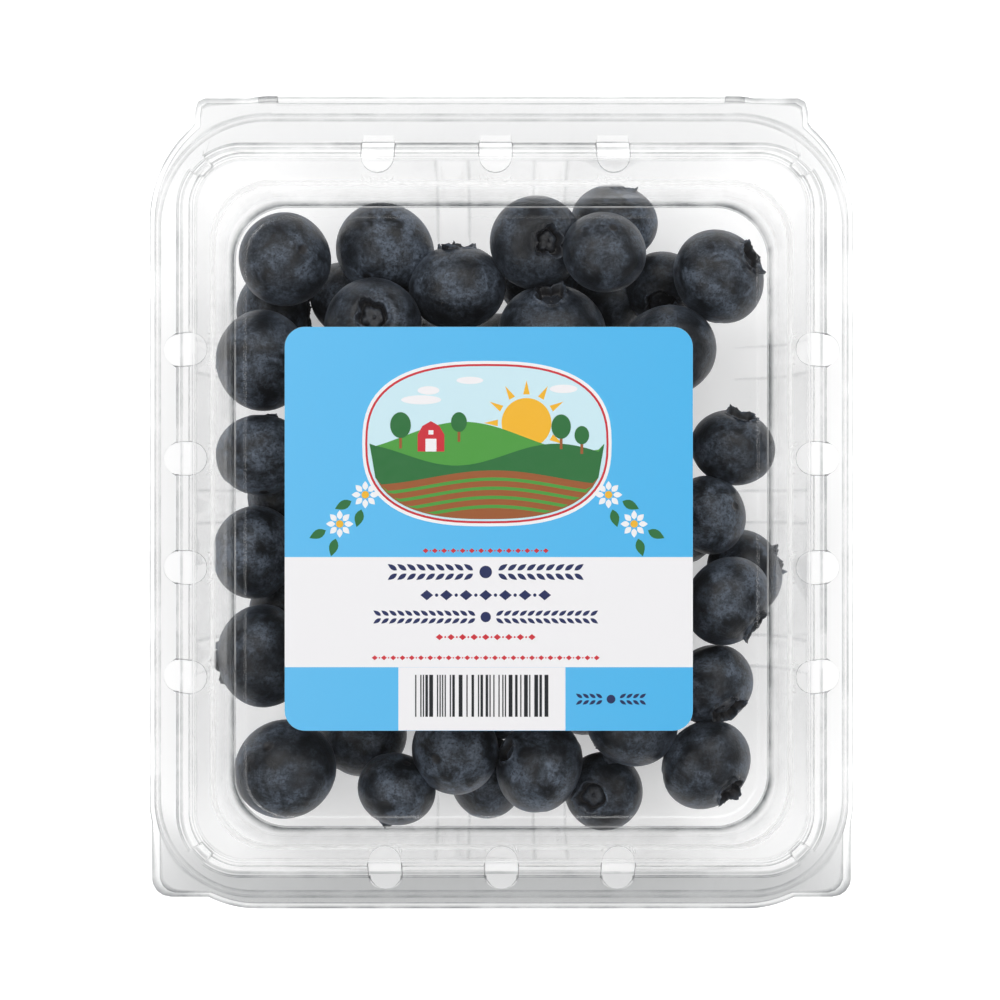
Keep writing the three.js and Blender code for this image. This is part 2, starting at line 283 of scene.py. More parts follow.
def paintedEndShade(columns):
    # painted shade on a flange's columns, darker at its back and front: none at the sides, and round
    # the corners as the sine of their direction
    back, front = pack["paintedEndShade"]
    facing = np.sin(np.radians(90 * columns["side"] + np.where(columns["isArc"], columns["value"], 0)))
    return np.where(facing > 0, back * facing, -front * facing)


def withHinge(places):
    # adds the hinge's ends to the back side's places
    half, beyond, back = hinge["half"], hinge["half"] + hinge["border"], 1
    return [np.r_[p, -beyond, -half, half, beyond] if q == back else p for q, p in enumerate(places)]


def atHinge(columns):
    # 1 on the columns along the hinge
    return (columns["side"] == 1) & ~columns["isArc"] & (np.abs(columns["value"]) < hinge["half"] + 0.01)


def clearSheet(name, roughness):
    # Thermoformed PET sheet. It is too thin to shift what is seen through it, so light goes straight
    # on, a little dimmed. Painted shade darkens it at the tight folds, standing in for the light they throw
    # aside, and reads as thin grey lines. Each face mirrors a little of the light square on and much of it
    # at a grazing angle, by Schlick's formula. A painted white highlight lies on the soft folds, and
    # painted shade on the flanges' back and front. The painted lines and highlights come and go, as the
    # sheet isn't quite even.
    # Light on its way from a lamp passes straight.
    material, tree = newMaterial(name)
    facing = addNode(tree, "LayerWeight", {}, {"Blend": 0.5}).outputs["Facing"]
    fifth = addNode(tree, "Math", {"operation": "POWER"}, {0: facing, 1: 5.0})
    squareOn, grazing = pack["mirrored"]
    mirrored = addNode(tree, "Math", {"operation": "MULTIPLY_ADD"}, {
        0: fifth.outputs[0], 1: grazing, 2: squareOn})
    # painted shade along folds and cuts, a painted highlight on soft folds, and painted shade towards the
    # flanges' back and front
    paintedFoldShade, paintedGleam, paintedEndShadeShare = [
        addNode(tree, "Attribute", {"attribute_name": title}).outputs["Fac"]
        for title in ("paintedFoldShade", "paintedGleam", "paintedEndShadeShare")]
    place = addNode(tree, "TexCoord").outputs["Object"]
    wave = addNode(tree, "TexNoise", {}, {
        "Vector": place, "Scale": 1 / (pack["waves"] * mm), "Detail": 3.0, "Roughness": 0.6})
    uneven = addNode(tree, "MapRange", {}, {0: wave.outputs["Fac"], 1: 0.36, 2: 0.64, 3: 0.5, 4: 1.2})
    times = {"operation": "MULTIPLY", "use_clamp": True}
    line = addNode(tree, "Math", times, {0: paintedFoldShade, 1: uneven.outputs[0]})
    shine = addNode(tree, "Math", times, {0: paintedGleam, 1: uneven.outputs[0]})
    paintedShadeShare = addNode(tree, "Math", {"operation": "ADD", "use_clamp": True}, {0: line.outputs[0], 1: paintedEndShadeShare})
    # the painted shade darkens what passes straight through
    dim = addNode(tree, "Mix", {"data_type": "RGBA"}, {
        0: paintedShadeShare.outputs[0], 6: hexColour(pack["shade"]), 7: hexColour(pack["foldShade"])})
    through = addNode(tree, "BsdfTransparent", {}, {"Color": dim.outputs[2]})
    gloss = addNode(tree, "BsdfGlossy", {}, {"Roughness": roughness})
    face = addNode(tree, "MixShader", {}, {
        0: mirrored.outputs[0], 1: through.outputs[0], 2: gloss.outputs[0]})
    # the painted highlight: white diffuse light on the soft folds
    white = addNode(tree, "BsdfDiffuse", {}, {"Color": hexColour(pack["paintedGleam"])})
    seen = addNode(tree, "MixShader", {}, {0: shine.outputs[0], 1: face.outputs[0], 2: white.outputs[0]})
    plain = addNode(tree, "BsdfTransparent", {}, {"Color": hexColour(pack["passing"])})
    path = addNode(tree, "LightPath")
    for kind in ("Is Shadow Ray", "Is Diffuse Ray"):
        seen = addNode(tree, "MixShader", {}, {
            0: path.outputs[kind], 1: seen.outputs[0], 2: plain.outputs[0]})
    addNode(tree, "OutputMaterial", {}, {"Surface": seen.outputs[0]})
    return material


def berrySkin():
    # Blueberry skin: near-black navy under a dusty wax bloom. The bloom lies in cloudy patches, rubbed
    # off in places, and the crown's dry lobes and the scars are browner.
    # More bloom on the crown's lobes is partly a painted highlight where they catch the light.
    material, tree = newMaterial("waxed blueberry skin")
    place = addNode(tree, "TexCoord").outputs["Object"]
    crown = addNode(tree, "Attribute", {"attribute_name": "dryAndMoatShade"}).outputs["Fac"]
    bloomAndHighlightTone = addNode(tree, "Attribute", {"attribute_name": "bloomAndLobeHighlight"}).outputs["Fac"]
    share = None
    for size, detail, roughness, distortion, low, high, least, most in berry["patches"]:
        noise = addNode(tree, "TexNoise", {}, {
            "Vector": place, "Scale": 1 / (size * mm), "Detail": detail, "Roughness": roughness,
            "Distortion": distortion})
        patch = addNode(tree, "MapRange", {}, {
            0: noise.outputs["Fac"], 1: low, 2: high, 3: least, 4: most}).outputs[0]
        if share is not None:
            patch = addNode(tree, "Math", {"operation": "MULTIPLY"}, {0: share, 1: patch}).outputs[0]
        share = patch
    bloom = addNode(tree, "Math", {"operation": "MULTIPLY", "use_clamp": True}, {0: share, 1: bloomAndHighlightTone})
    skin = addNode(tree, "Mix", {"data_type": "RGBA"}, {
        0: bloom.outputs[0], 6: hexColour(berry["skin"]), 7: hexColour(berry["wax"])})
    # dry skin, and in the crown's moat also painted shade
    dryAndShaded = addNode(tree, "Mix", {"data_type": "RGBA"}, {
        0: crown, 6: skin.outputs[2], 7: hexColour(berry["dryAndShaded"])})
    rough = addNode(tree, "MapRange", {}, {0: bloom.outputs[0], 1: 0.0, 2: 1.0, 3: 0.36, 4: 0.62})
    pores = addNode(tree, "TexNoise", {}, {
        "Vector": place, "Scale": 1 / (berry["pores"] * mm), "Detail": 5.0, "Roughness": 0.72})
    bump = addNode(tree, "Bump", {}, {
        "Height": pores.outputs["Fac"], "Strength": 0.45, "Distance": berry["poreDepth"] * mm})
    body = addNode(tree, "BsdfPrincipled", {}, {
        "Base Color": dryAndShaded.outputs[2], "Roughness": rough.outputs[0], "IOR": 1.45,
        "Sheen Weight": 0.14, "Sheen Roughness": 0.45, "Sheen Tint": hexColour("#b8c4d6"),
        "Normal": bump.outputs["Normal"],
    })
    addNode(tree, "OutputMaterial", {}, {"Surface": body.outputs[0]})
    return material


def labelStock(name, colour, rightColour=None, roughness=0.42):
    # Gloss-coated label paper: ink under a thin varnish, with a faint mottle in the varnish. The ink is
    # flat, or runs to another colour at the label's right.
    material, tree = newMaterial(name)
    place = addNode(tree, "TexCoord").outputs["Object"]
    mottle = addNode(tree, "TexNoise", {}, {"Vector": place, "Scale": 1 / (1.4 * mm), "Detail": 2.0})
    varnish = addNode(tree, "MapRange", {}, {
        0: mottle.outputs["Fac"], 1: 0.3, 2: 0.7, 3: roughness - 0.05, 4: roughness + 0.05})
    x = addNode(tree, "SeparateXYZ", {}, {0: place})
    across = addNode(tree, "MapRange", {}, {
        0: x.outputs["X"], 1: label["left"] * mm, 2: label["right"] * mm})
    ends = {6: hexColour(colour), 7: hexColour(rightColour or colour)}
    tint = addNode(tree, "Mix", {"data_type": "RGBA"}, {0: across.outputs[0], **ends})
    body = addNode(tree, "BsdfPrincipled", {}, {
        "Base Color": tint.outputs[2], "Roughness": varnish.outputs[0], "IOR": 1.5, "Coat Weight": 0.15,
        "Coat Roughness": 0.2})
    addNode(tree, "OutputMaterial", {}, {"Surface": body.outputs[0]})
    return material


tray = {
    "tab": (57.3, -65.5, 2.8),
    "ear": (50.6, 66.9, 1.4),
    "rimInset": 0.75,
    "flangeInsets": (3.0, 1.9, 1.35, 0.95, 0.75),  # rings across the flange, out to its edge
    "footInset": 0.6,  # of the bead, inside the lid's step
    "topInset": 0.5,
    "mouthInset": 1.15,
    "ribsFrom": 42.5,  # half width where the ribs begin, just outside the flat floor
    "ribDepth": 2.2,
    "ribInner": 1.1,  # half width of a rib's inner face
    "ribOuter": 2.1,  # half width where it leaves the wall, low down
    "ribFlare": 1.0,  # and how much wider it gets as it fades out at the top
    # painted lines in the sheet, at a half width, with their breadth and strength: painted shade at folds,
    # then painted highlights at soft folds
    "paintedFoldShade": ((50.75, 0.08, 0.16), (51.4, 0.1, 0.35), (53.8, 0.1, 0.38), (58.1, 0.09, 0.3)),
    "paintedGleam": ((50.95, 0.12, 0.2), (52.6, 0.6, 0.08)),
    "ribEdge": (2.8, 0.35, 0.15),  # painted shade at a rib's edge: from its middle, breadth and strength
    "sideRibs": (-25.9, -0.8, 24.3),
    "endRibs": (-8.3, 8.3),
    "buttonSpan": (51.1, 54.6),  # half widths between which the snap buttons press the bead in
}


def wallShare(h):
    # how far the wall has come in from the mouth, at a height from 0, the floor, to 1, the mouth
    return 0.28 * (1 - h) + 0.72 * (1 - h) ** 5


def makeTray(material):
    floorZ = pack["sheet"]
    mouth, floorEdge = ringAt("stepTop", 0, tray["mouthInset"]), ringAt("floorEdge", 0)
    h = np.linspace(0, 1, 24)[1:-1] ** 1.3
    wall = mouth + (floorEdge - mouth) * wallShare(h)[:, None]
    wall[:, 4] = floorZ + (pack["beadZ"] - floorZ) * h
    rimZ = pack["trayRimZ"]
    beadTop = ringAt("stepTop", pack["beadZ"], tray["topInset"])
    beadFoot = ringAt("stepFoot", rimZ, tray["footInset"])
    beadSide = [beadTop + (beadFoot - beadTop) * t for t in (0.14, 0.86)]
    keys = np.array([
        ringAt("floorEdge", floorZ, 4), ringAt("floorEdge", floorZ),
        *wall,
        ringAt("stepTop", pack["beadZ"], tray["mouthInset"]), beadTop, *beadSide, beadFoot,
        ringAt("stepFoot", rimZ, tray["footInset"] - 0.4),
        *[ringAt("rim", rimZ, inset) for inset in tray["flangeInsets"]],
    ])
    fold = pack["fold"]
    radii = [0, 3, *[0] * len(wall), 0.4, 0.4, 0, 0, fold, 0, 0, 0, 0, 0, 0]
    rings = roundedPath(keys, radii)

    # Ribs: straight columns are pushed in across each one, least at the top, where it also flares.
    sideRibs, endRibs = tray["sideRibs"], tray["endRibs"]
    ribPlaces = [sideRibs, [-x for x in endRibs], [-y for y in sideRibs], endRibs]
    across = np.linspace(-1, 1, 15) * (tray["ribOuter"] + tray["ribFlare"] + 0.1)
    places = [np.add.outer(middles, across).ravel() for middles in ribPlaces]
    columns = makeColumns(withHinge(places), cornerAngles)
    height = np.clip((rings[:, 4] - floorZ) / (pack["beadZ"] - floorZ), 0, 1)
    isWall = np.arange(len(rings)) < np.argmax(rings[:, 0] >= mouth[0] - 1e-6)
    isRibbed = isWall & (rings[:, 0] > tray["ribsFrom"])
    depth = np.where(isRibbed, tray["ribDepth"] * np.minimum(1, 1.25 * (1 - height)), 0)
    centre = np.array([np.array(ribPlaces[q])[np.abs(np.array(ribPlaces[q]) - v).argmin()]
                       for q, v in zip(columns["side"], columns["value"])])
    away = np.where(columns["isArc"], 99, np.abs(columns["value"] - centre))
    flare = tray["ribFlare"] * height[:, None] ** 4
    outer = tray["ribOuter"] + flare
    push = depth[:, None] * smoothStep((outer - away) / (outer - tray["ribInner"]))

    # Buttons on the bead's outside, tabs on the flange's edge.
    buttonFrom, buttonTo = tray["buttonSpan"]
    onBead = smoothStep((rings[:, 0] - buttonFrom) / 0.9) * (rings[:, 0] < buttonTo)
    share = np.clip((rings[:, 0] - keys[-4][0]) / (keys[-1][0] - keys[-4][0]), 0, 1)
    tabs = tabsOf(columns, ringAt("rim", 0, tray["rimInset"]), tray["tab"], tray["ear"])
    grow = share[:, None] * tabs - onBead[:, None] * corners["buttonDepth"] * buttonAt(columns)
    push = push + share[:, None] * atHinge(columns) * (keys[-1][2] - hinge["edge"])
    points = ringPoints(columns, rings[:, None, :], push, grow)
    # painted shade along folds and rib edges, painted highlights on soft folds, painted shade at the
    # flange's back and front
    marks = {title: np.broadcast_to(lineShare(rings, tray[title])[:, None], points.shape[:2])
             for title in ("paintedFoldShade", "paintedGleam")}
    edgeAt, breadth, strength = tray["ribEdge"]
    ribEdge = strength * np.exp(-((away - edgeAt) / breadth) ** 4) * (depth > 0)[:, None]
    marks["paintedFoldShade"] = np.maximum(marks["paintedFoldShade"], ribEdge)
    marks["paintedEndShadeShare"] = np.outer(rings[:, 0] > beadFoot[0], paintedEndShade(columns))
    points, marks = capRows(points, marks, [0.05, 0.35, 0.7])
    quads = gridQuads(len(points), points.shape[1])
    middle = np.arange(points.shape[1])
    piece = makePiece("punnetTray", points, quads, material, [middle], attributes=marks)
    thicken(piece)
    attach(piece, "tray")
    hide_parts("tray")


def thicken(piece):
    # the sheet's thickness lies under its upper face
    wall = piece.modifiers.new("sheet", "SOLIDIFY")
    wall.thickness = pack["sheet"] * mm
    wall.offset = -1


lid = {
    "tab": (58.5, -66.1, 3.1),
    "ear": (51.3, 67.6, 1.7),
    "ventWidth": 5.45,
    "sideVents": {"inner": 48.9, "outer": 56.6, "at": (25.4, 7.25, -10.9, -29.05)},
    "frontVents": {"inner": 57.1, "outer": 64.8, "at": (-19.4, 0, 19.4)},
    "backVents": {"inner": 54.75, "outer": 60.2, "at": (-20.6, -1, 18.6)},
    "cutEdge": 0.2,  # width of the painted shade along a cut
    # how dark that painted shade is
    "cutDarkness": 0.6,
    # painted lines in the sheet, at a half width, with their breadth and strength: the panel's edge,
    # the dome's slope and foot, the step's top and foot, the flange's bead and its edge. The first are
    # painted shade, with a broad band of it down the dome's slope; the second are painted highlights
    "paintedFoldShade": (
        (44.06, 0.08, 0.9), (45.7, 1.2, 0.08), (51.85, 0.09, 0.65), (54.4, 0.09, 0.6), (57.1, 0.1, 0.22),
        (58.1, 0.1, 0.26), (58.85, 0.1, 0.42)),
    "paintedGleam": (
        (42.1, 0.1, 0.06), (43.8, 0.08, 0.45), (45.78, 0.12, 0.2), (47.95, 0.34, 0.75), (52.3, 0.2, 0.25)),
    "hingeEdge": 0.25,  # how much of the edge's painted shade shows along the hinge
    "panelRim": 0.25,  # the panel's raised edge
    "beadHeight": 0.45,  # of the stiffening bead on the flange
    "beadOuter": (58.15, -66.15, 64.95, 16.6, 19),
    "beadInner": (57.1, -65.05, 63.85, 15.6, 18),
    "buttonSpan": (50.5, 56.4),  # half widths between which the snap buttons press the step in
}


def makeLid(material):
    top, shoulder, rimZ = pack["panelZ"], pack["shoulderZ"], pack["lidRimZ"]
    dome, step, foot = ringAt("domeFoot", shoulder), ringAt("stepTop", shoulder), ringAt("stepFoot", rimZ)
    beadInner, beadOuter = asRing(lid["beadInner"], rimZ), asRing(lid["beadOuter"], rimZ)
    raised = np.array([0, 0, 0, 0, lid["beadHeight"], 0])

    def between(a, b, t, z):
        ring = a + (b - a) * t
        ring[4] = z
        return ring

    rim = ringAt("rim", rimZ)
    keys = [
        (ringAt("panelEdge", top, 3.0), 0),
        (ringAt("panelEdge", top, 2.1), 0.6),
        (ringAt("panelEdge", top + lid["panelRim"], 1.6), 0.6),
        (ringAt("panelEdge", top + lid["panelRim"], 0.1), pack["fold"]),
        (between(ringAt("panelEdge", 0), dome, 0.36, top - 3.1), 2.4),
        (dome, 1.5),
        (between(dome, step, 0.35, shoulder), 0),
        (between(dome, step, 0.6, shoulder), 0),
        (between(dome, step, 0.84, shoulder), 0),
        (between(dome, step, 0.9, shoulder), 0),
        (step, pack["fold"]),
        (between(step, foot, 0.73, shoulder + (rimZ - shoulder) * 0.73), 0),
        (between(step, foot, 0.77, shoulder + (rimZ - shoulder) * 0.77), 0),
        (foot, pack["fold"]),
        (between(foot, beadInner, 0.5, rimZ), 0),
        (between(foot, beadInner, 0.93, rimZ), 0),
        (beadInner, 0.35),
        (between(beadInner, beadOuter, 0.25, rimZ) + raised, 0.3),
        (between(beadInner, beadOuter, 0.75, rimZ) + raised, 0.3),
        (beadOuter, 0.3),
        (between(beadOuter, rim, 0.35, rimZ), 0),
        (between(beadOuter, rim, 0.7, rimZ), 0),
        (rim, 0),
    ]
    rings = roundedPath([k for k, r in keys], [r for k, r in keys])
    travel = np.r_[0, np.cumsum(np.hypot(*np.diff(rings[:, [0, 4]], axis=0).T))]

    vents = [lid["sideVents"], lid["backVents"], lid["sideVents"], lid["frontVents"]]
    signs = [1, -1, -1, 1]  # each side's own direction along it, against X or Y
    middles = [[sign * place for place in vent["at"]] for sign, vent in zip(signs, vents)]
    slot = slotOffsets(lid["ventWidth"], lid["cutEdge"])
    columns = makeColumns(withHinge([np.add.outer(m, slot).ravel() for m in middles]), cornerAngles)
    rowAt = lambda ring: int(np.abs(rings - ring).sum(axis=1).argmin())
    first, last = rowAt(keys[9][0]), rowAt(keys[11][0])
    low, high = np.interp(dome[0] - 1, rings[:, 0], travel), travel[rowAt(keys[15][0])]

    # Vents: in each column across a slot the rows slide along the sheet until two of them lie on the
    # slot's round ends, and what is between those two is left open.
    half = lid["ventWidth"] / 2
    slide = np.repeat(travel[:, None], len(columns["side"]), axis=1)
    isOpen = np.zeros(len(columns["side"]), bool)
    isCut = np.zeros_like(slide)
    row = np.arange(len(travel))[:, None]
    for q, vent in enumerate(vents):
        reach = rings[:, [0, 2, 0, 1][q]] * (-1 if q == 3 else 1)
        mine = (columns["side"] == q) & ~columns["isArc"]
        value = columns["value"][mine]
        middle = np.array(middles[q])[np.abs(np.subtract.outer(value, middles[q])).argmin(axis=1)]
        bulge = np.sqrt(np.maximum(half ** 2 - (value - middle) ** 2, 0))
        innerEnd = np.interp(vent["inner"] + half - bulge, reach, travel)
        outerEnd = np.interp(vent["outer"] - (0 if q == 1 else half - bulge), reach, travel)
        t = travel[:, None]
        before = low + (t - low) * (innerEnd - low) / (travel[first] - low)
        after = high - (high - t) * (high - outerEnd) / (high - travel[last])
        middlePart = innerEnd + (t - travel[first]) * (outerEnd - innerEnd) / (travel[last] - travel[first])
        moved = np.where(t <= travel[first], before, np.where(t >= travel[last], after, middlePart))
        off = value - middle
        slide[:, mine] = np.where((t > low) & (t < high) & (np.abs(off) < half + 0.01), moved, t)
        isOpen[mine] = (off > -half - 0.01) & (off < half - 0.01)
        isSide = (np.abs(np.abs(off) - half) < 0.01) & (row >= first) & (row <= last)
        isEnd = (np.abs(off) < half + 0.01) & ((row == first) | (row == last))
        isCut[:, mine] = isSide | isEnd
    rings3 = np.stack([np.interp(slide, travel, rings[:, c]) for c in range(6)], axis=-1)

    buttonFrom, buttonTo = lid["buttonSpan"]
    onStep = smoothStep((rings[:, 0] - buttonFrom) / 0.9) * smoothStep((buttonTo - rings[:, 0]) / 1.4)
    outward = np.clip((rings[:, 0] - beadOuter[0]) / (rim[0] - beadOuter[0]), 0, 1)
    grow = outward[:, None] * tabsOf(columns, rim, lid["tab"], lid["ear"])
    grow = grow - onStep[:, None] * corners["buttonDepth"] * buttonAt(columns)
    push = outward[:, None] * atHinge(columns) * (rim[2] - hinge["edge"])
    points = ringPoints(columns, rings3, push, grow)
    # painted shade along folds and cuts, painted highlights on soft folds, painted shade at the flange's
    # back and front
    marks = {}
    for title in ("paintedFoldShade", "paintedGleam"):
        share = lineShare(rings, lid[title])
        marks[title] = np.stack([np.interp(moved, travel, share) for moved in slide.T], axis=1)
    marks["paintedFoldShade"] = np.maximum(marks["paintedFoldShade"], isCut * lid["cutDarkness"])
    isHinged = np.outer(outward > 0.8, atHinge(columns))
    marks["paintedFoldShade"] = marks["paintedFoldShade"] * np.where(isHinged, lid["hingeEdge"], 1)
    marks["paintedEndShadeShare"] = np.outer(rings[:, 0] > foot[0], paintedEndShade(columns))
    points, marks = capRows(points, marks, [0.05, 0.2, 0.4, 0.6, 0.8, 0.93])
    added = len(points) - len(rings)
    rowIndex = np.arange(len(points) - 1)[:, None]
    keep = ~((rowIndex >= first + added) & (rowIndex < last + added) & isOpen)
    quads = gridQuads(len(points), points.shape[1], keep)
    middle = np.arange(points.shape[1])
    piece = makePiece("punnetLid", points, quads, material, [middle], attributes=marks)
    thicken(piece)
    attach(piece, "lid")
    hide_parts("lid")


def makeHinge(material):
    # The strip between the two back edges: half an ellipse from the tray's flange out and up to the
    # lid's, with a line of painted shade along the crease at its middle, and the painted shade of the
    # flanges' back.
    low, high = pack["trayRimZ"] - pack["sheet"] / 2, pack["lidRimZ"] - pack["sheet"] / 2
    radius = (high - low + hinge["sheet"]) / 2
    angle = np.radians(np.linspace(-90, 90, 19))[:, None]
    along = np.linspace(-hinge["half"], hinge["half"], 41)[None]
    y = hinge["edge"] + hinge["bow"] * np.cos(angle) + 0 * along
    z = (low + high) / 2 + radius * np.sin(angle) + 0 * along
    points = np.stack([along + 0 * angle, y, z], axis=-1)
    paintedCreaseShade = np.broadcast_to(hinge["paintedCreaseShade"] * (np.cos(angle) > 0.9), points.shape[:2])
    here = np.arange(points[..., 0].size).reshape(points.shape[:2])
    quads = np.stack([here[:-1, :-1], here[1:, :-1], here[1:, 1:], here[:-1, 1:]], axis=-1).reshape(-1, 4)
    paintedEndShadeShare = np.full(points.shape[:2], pack["paintedEndShade"][0])
    piece = makePiece("livingHinge", points, quads, material, attributes={"paintedFoldShade": paintedCreaseShade, "paintedEndShadeShare": paintedEndShadeShare})
    wall = piece.modifiers.new("sheet", "SOLIDIFY")
    wall.thickness = hinge["sheet"] * mm
    wall.offset = -1
    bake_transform(piece)


# Berries that show: x, y, height, diameter, then where the crown points: azimuth from +X, and tilt from
# straight up.
showing = np.array([
    (-36.5, 41, 21, 15.5, 200, 150), (-19.5, 42, 17, 16.5, 60, 130), (-8, 36.5, 20, 16, 90, 84),
    (-21.5, 29.5, 24, 16, 75, 14), (6.5, 43.5, 23, 15.5, 0, 19), (16.6, 42, 24, 13.6, 250, 140),
    (19.2, 51, 17, 14.5, 80, 78), (8.5, 28.5, 22, 17.5, 92, 54), (19, 35, 9, 12.5, 30, 120),
    (27, 36.5, 11, 12.5, 258, 36), (28, 25.5, 22, 16, 100, 125), (36.5, 38, 21, 16, 31, 62),
    (-40.5, 24, 20, 16.5, 180, 120), (-40.5, 8, 21, 15, 95, 110), (-42.5, -8.5, 19, 15.5, 170, 115),
    (-41.5, -26, 20, 17, 190, 100), (-36.5, -45, 21, 17, 300, 140), (-39.2, 32.5, 9, 14.5, 0, 90),
    (39, 9, 20, 14, 75, 76), (35, -2, 22, 13, 200, 130), (38, -16.5, 23, 15, -40, 76),
    (43, -12, 14, 14, 20, 90), (35.5, -31, 20, 14, -62, 56), (34.5, -44, 21, 15.5, -45, 60),
    (22, -37, 22, 15.5, 240, 115), (17, -49, 18, 13, 192, 22), (6.5, -44.5, 22, 15.5, 152, 68),
    (-8, -42, 21, 14.5, 20, 150), (-17.5, -48.5, 19, 13, 250, 120), (-24, -39.8, 9, 15, 90, 40),
    (-2.5, -47.5, 9, 14, 0, 100), (-36.5, 0.5, 9, 15, 30, 60), (-36, -18, 9, 15, 120, 100),
])

# Places in the lower rows that stay empty, where the floor shows between the berries.
bare = np.array([(22.5, -46), (37.5, -46), (37.5, 39.2), (30, 25), (37.5, 10.8), (-7.5, 39.2)])

heap = {
    "meanBerry": 14.8,
    "lowLevel": 8,
    "topLevel": 21,
    "clear": 0.5,
    "contact": 0.94,
    "steps": 260,
    "share": 0.3,
    "sink": 0.06,
    "levelHold": 0.25,
    "sheet": 0.5,  # the heap was settled in the pack's full wall
}
berry = {
    "flat": 0.87,  # height against width
    "swell": 1.03,
    "crown": 0.34,  # the crown's rim against the berry's half width
    "crownWidth": (0.82, 1.16),  # least and most, against that
    "lobeLength": (0.0, 0.13),
    "lobeLean": (-0.06, 0.14),  # inwards and outwards
    "scallop": 0.085,  # how far the rim draws in between two lobes
    "lumps": 0.012,
    "bloom": (0.6, 1.3),  # how much of it is left, least and most
    "lobeBloomAndHighlight": 0.7,  # and how much more lies on the lobes, partly a painted highlight where they catch the light
    "skin": "#0f1217",
    "wax": "#646f7e",
    "dryAndShaded": "#201f21",  # crown and scars, and painted shade in the crown's moat
    # The bloom's patches, multiplied: clouds, dust, specks and rubbed places. Each row is the noise's size,
    # detail, roughness and distortion, the range taken from it, and what that range becomes.
    "patches": (
        (3.8, 9.0, 0.7, 0.35, 0.4, 0.64, 0.0, 1.0),
        (0.8, 6.0, 0.75, 0.0, 0.38, 0.64, 0.35, 1.35),
        (0.45, 3.0, 0.5, 0.0, 0.36, 0.46, 0.35, 1.0),
        (7.5, 2.0, 0.5, 0.0, 0.38, 0.52, 0.35, 1.0),
    ),
    "pores": 1.3,
    "poreDepth": 0.3,
}


def spread(n):
    # whole numbers spread evenly between -1 and 1 by the golden ratio
    return ((n * 0.618034) % 1) * 2 - 1


def rowsOf(x0, y0, pitchX, pitchY, columns, rowCount):
    # staggered rows of places; odd rows have one place fewer
    return np.array([(x0 + pitchX * (i + (j % 2) / 2), y0 + pitchY * j)
                     for j in range(rowCount) for i in range(columns - j % 2)])


def wallRing(h):
    mouth, floorEdge = ringAt("stepTop", 0, tray["mouthInset"]), ringAt("floorEdge", 0)
    share = wallShare(h)[:, None]
    ring = mouth + (floorEdge - mouth) * share
    return ring[:, 0], ring[:, 1], ring[:, 2]


def keepInside(at, r):
    # Berries stay off the walls, the ribs, the floor and the lid. Each one's width is tested at three
    # heights.
    sheet, clear = heap["sheet"], heap["clear"]
    for drop in (0, 0.6, 0.85):
        half = r * np.sqrt(1 - drop ** 2) + clear
        h = np.clip((at[:, 2] - drop * r - sheet) / (pack["beadZ"] - sheet), 0, 1)
        wallX, front, back = wallRing(h)
        at[:, 0] = np.clip(at[:, 0], half - wallX, wallX - half)
        at[:, 1] = np.clip(at[:, 1], front + half, back - half)
        depth = tray["ribDepth"] * np.minimum(1, 1.25 * (1 - h))
        ribs = [(side * wallX, np.full_like(wallX, y)) for y in tray["sideRibs"] for side in (1, -1)]
        ribs += [(np.full_like(wallX, x), end) for x in tray["endRibs"] for end in (front, back)]
        for x, y in ribs:
            away = at[:, :2] - np.stack([x, y], axis=1)
            distance = np.linalg.norm(away, axis=1)
            short = np.maximum(half + depth - distance, 0)
            at[:, :2] += away / distance[:, None] * short[:, None]
    at[:, 2] = np.clip(at[:, 2], sheet + clear + r, pack["panelZ"] - sheet - clear - r)


def settledBerries():
    # Berries press each other apart, sink and drift back to their places, all at once in each step.
    shown, shownR = showing[:, :3], showing[:, 3] / 2
    lowR = heap["meanBerry"] / 2 + 0.45 * spread(np.arange(100))
    lower = rowsOf(-37.5, -46, 15, 14.2, 6, 7)
    isLow = shown[:, 2] < 15
    gap = np.hypot(*(lower[:, None] - shown[None, isLow, :2]).transpose(2, 0, 1))
    free = (gap > 0.72 * (lowR[:len(lower), None] + shownR[isLow])).all(axis=1)
    free &= (np.abs(lower[:, None] - bare).max(axis=2) > 1).all(axis=1)
    under = rowsOf(-26.5, -25.5, 15.2, 13.4, 4, 4)
    home = np.concatenate([
        shown,
        np.c_[lower[free], np.full(free.sum(), heap["lowLevel"])],
        np.c_[under, np.full(len(under), heap["topLevel"])],
    ])
    r = np.concatenate([shownR, lowR[:len(lower)][free], lowR[:len(under)]])
    hold = np.where(np.arange(len(r)) < len(shown), 0.35, 0.02)[:, None] * [1, 1, heap["levelHold"]]
    at = home.copy()
    for step in range(heap["steps"]):
        away = at[:, None] - at[None]
        distance = np.linalg.norm(away, axis=2) + np.eye(len(r)) * 99
        press = np.maximum((r[:, None] + r[None]) * heap["contact"] - distance, 0)
        at += (away * (press / distance)[..., None]).sum(axis=1) * heap["share"]
        at += (home - at) * hold - [0, 0, heap["sink"]]
        keepInside(at, r)
    return at, r


